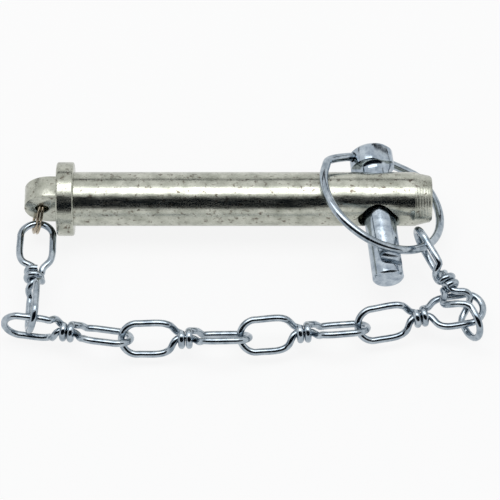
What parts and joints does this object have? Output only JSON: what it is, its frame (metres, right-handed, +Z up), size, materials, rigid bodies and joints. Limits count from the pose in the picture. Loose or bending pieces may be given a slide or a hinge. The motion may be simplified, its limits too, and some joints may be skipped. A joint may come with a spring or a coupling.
{
  "type": "hitch pin with linch pin and chain",
  "caption": "Hitch pin with collar and tab, locked by a linch pin with a spring ring through its cross hole, which a knotted wire chain ties to the tab",
  "frame": {"origin": "the point on the shank's axis at the collar's seating face", "axes": "+X runs along the shank to its tip, +Y is the side of the linch pin's head, +Z is up as it lies"},
  "size_m": [0.1684, 0.0787, 0.0301],
  "materials": {
    "satin_zinc": "satin zinc plating, worn",
    "bright_zinc": "bright blue-white zinc plating",
    "bright_zinc_wire": "bright blue-white zinc plating on wire",
    "nickel_wire": "warm nickel plating"
  },
  "bodies": {
    "pin": {"pin": "satin_zinc"},
    "split_ring": {"split_ring": "nickel_wire"},
    "link_1": {"link_1": "bright_zinc_wire"},
    "link_2": {"link_2": "bright_zinc_wire"},
    "link_3": {"link_3": "bright_zinc_wire"},
    "link_4": {"link_4": "bright_zinc_wire"},
    "link_5": {"link_5": "bright_zinc_wire"},
    "link_6": {"link_6": "bright_zinc_wire"},
    "linch_pin": {"linch_pin": "bright_zinc"},
    "linch_ring": {"linch_ring": "bright_zinc_wire"}
  },
  "joints": [
    {"name": "linch_slide", "type": "slide", "parent": "pin", "child": "linch_pin", "axis": [-0.1045, 0.9945, 0], "range_m": [0, 0.045]},
    {"name": "ring_swing", "type": "hinge", "parent": "linch_pin", "child": "linch_ring", "pos_m": [0.10472, 0.01601, -0.0005], "axis": [-0.8781, -0.0923, 0.4695], "range_deg": [0, 104.4]},
    {"name": "split_ring_swing", "type": "hinge", "parent": "pin", "child": "split_ring", "pos_m": [-0.0113, 0, 0], "axis": [0, 1, 0], "range_deg": [-0.5, 25.9]},
    {"name": "link_1_turn", "type": "hinge", "parent": "split_ring", "child": "link_1", "pos_m": [-0.01204, -0.00769, -0.00519], "axis": [0.8774, 0.2202, 0.4262], "range_deg": [-41.4, 0.5]},
    {"name": "link_2_turn", "type": "hinge", "parent": "link_1", "child": "link_2", "pos_m": [-0.01331, -0.04832, 0.00067], "axis": [-0.1802, -0.7606, 0.6237], "range_deg": [-0.5, 37.2]},
    {"name": "link_3_turn", "type": "hinge", "parent": "link_2", "child": "link_3", "pos_m": [0.0187, -0.05307, -0.00541], "axis": [0.7037, -0.3851, 0.5971], "range_deg": [-0.5, 25.6]},
    {"name": "link_4_turn", "type": "hinge", "parent": "link_3", "child": "link_4", "pos_m": [0.05986, -0.05184, -0.00582], "axis": [0.6748, -0.5992, 0.4309], "range_deg": [-0.5, 22.2]},
    {"name": "link_5_turn", "type": "hinge", "parent": "link_4", "child": "link_5", "pos_m": [0.10082, -0.0484, -0.00626], "axis": [-0.1953, -0.2617, 0.9452], "range_deg": [-35.9, 0.5]},
    {"name": "link_6_turn", "type": "hinge", "parent": "link_5", "child": "link_6", "pos_m": [0.13817, -0.03596, -0.00478], "axis": [-0.2393, -0.5892, 0.7717], "range_deg": [-37.1, 0.5]}
  ],
  "couplings": [
    {"joint": "ring_swing", "follows": "linch_slide", "rad_per_m": 40.281},
    {"joint": "split_ring_swing", "follows": "linch_slide", "rad_per_m": 9.8518},
    {"joint": "link_1_turn", "follows": "linch_slide", "rad_per_m": -15.873},
    {"joint": "link_2_turn", "follows": "linch_slide", "rad_per_m": 14.238},
    {"joint": "link_3_turn", "follows": "linch_slide", "rad_per_m": 9.7354},
    {"joint": "link_4_turn", "follows": "linch_slide", "rad_per_m": 8.4059},
    {"joint": "link_5_turn", "follows": "linch_slide", "rad_per_m": -13.747},
    {"joint": "link_6_turn", "follows": "linch_slide", "rad_per_m": -14.21}
  ]
}
